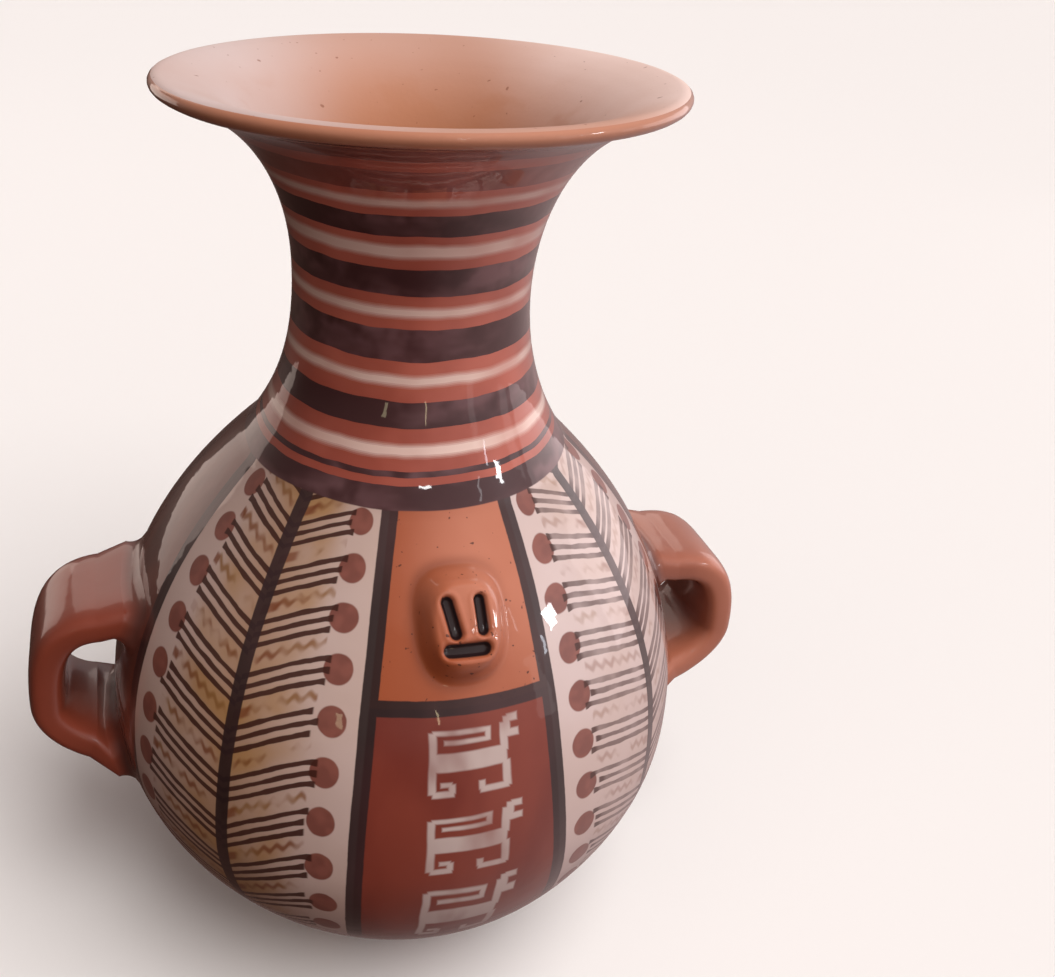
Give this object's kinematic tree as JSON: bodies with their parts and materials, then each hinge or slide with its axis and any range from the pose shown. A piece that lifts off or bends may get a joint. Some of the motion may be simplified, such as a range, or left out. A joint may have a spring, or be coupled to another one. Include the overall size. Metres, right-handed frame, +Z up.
{
  "type": "aryballos",
  "caption": "Hollow round-bellied vessel with a tall neck, a wide flared mouth, side strap handles and a modelled lug on the shoulder, in painted and glazed earthenware.",
  "frame": {"origin": "centre of the flat underside", "axes": "+Z up along the vessel's turned axis; -Y is the front, with the lug; the handles stand at +X and -X"},
  "size_m": [0.332, 0.2556, 0.3835],
  "materials": {
    "glazed_clay": "painted slips under a clear glossy glaze, inside of the flare matt"
  },
  "bodies": {
    "root": {"aryballos": "glazed_clay"}
  },
  "joints": []
}
